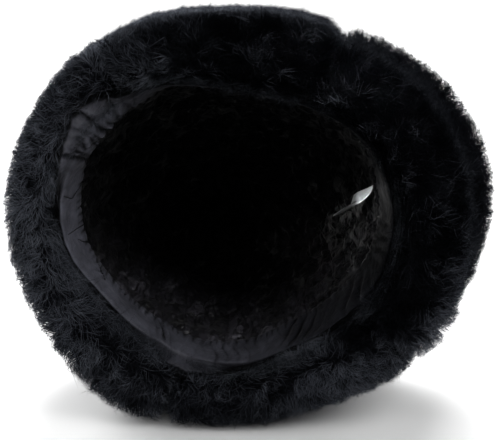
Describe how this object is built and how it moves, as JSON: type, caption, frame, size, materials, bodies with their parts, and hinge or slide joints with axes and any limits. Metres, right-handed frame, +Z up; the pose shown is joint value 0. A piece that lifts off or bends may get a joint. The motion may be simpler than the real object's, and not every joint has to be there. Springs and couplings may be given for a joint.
{
  "type": "ushanka",
  "caption": "Fur hat with a cloth crown and its flaps folded up, lying on its side with its mouth open to the front.",
  "frame": {"origin": "on the surface that the hat lies on, under the centre of its bounding box", "axes": "+Z up; the hat's mouth faces -Y and its crown points to +Y; the wearer's front points to -X, so +X runs along the hat's length, towards the back of the head"},
  "size_m": [0.2954, 0.173, 0.2497],
  "materials": {
    "crown_cloth": "matt black woven cloth",
    "lining_satin": "crinkled quilted black satin",
    "band_satin": "smooth black satin, stitched",
    "label_satin": "white satin ribbon, blank",
    "fur": "short dense black plush fur"
  },
  "bodies": {
    "root": {"crown": "crown_cloth", "lining": "lining_satin", "sweatband": "band_satin", "label": "label_satin", "visor": "fur", "ear_flap_left": "fur", "ear_flap_right": "fur", "back_flap": "fur"}
  },
  "joints": []
}
